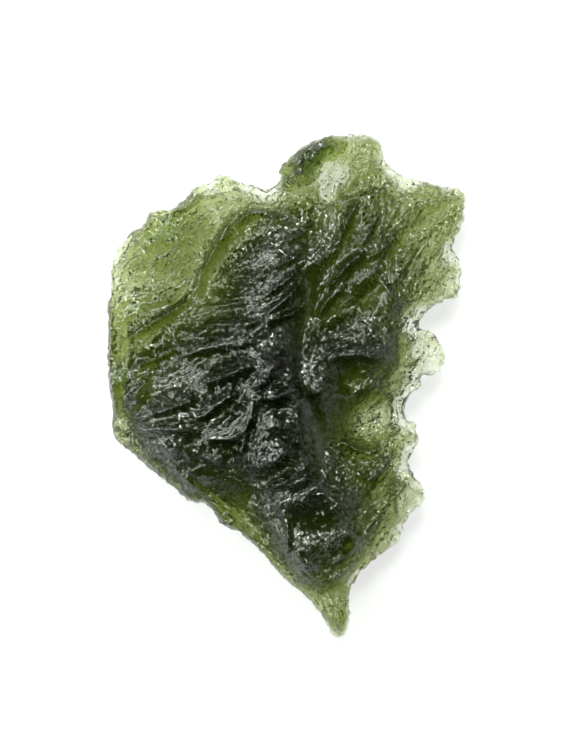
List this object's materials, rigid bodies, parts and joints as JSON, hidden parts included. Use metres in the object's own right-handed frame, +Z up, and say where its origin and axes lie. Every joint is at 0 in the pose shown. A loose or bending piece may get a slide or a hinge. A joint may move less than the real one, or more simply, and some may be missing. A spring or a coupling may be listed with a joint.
{
  "type": "moldavite",
  "caption": "Leaf-shaped piece of natural green tektite glass with a fluted and pitted crested face, a thin scalloped rim and a pointed tip.",
  "frame": {"origin": "on the surface it rests on, under the middle of its bounding box", "axes": "+Z up from the resting surface through the crested face, +Y along its length from the pointed tip to the knob"},
  "size_m": [0.0226, 0.0318, 0.0068],
  "materials": {
    "green_glass": "see-through moss green glass, etched by nature to a fine satin with bright glints"
  },
  "bodies": {
    "root": {"moldavite": "green_glass"}
  },
  "joints": []
}
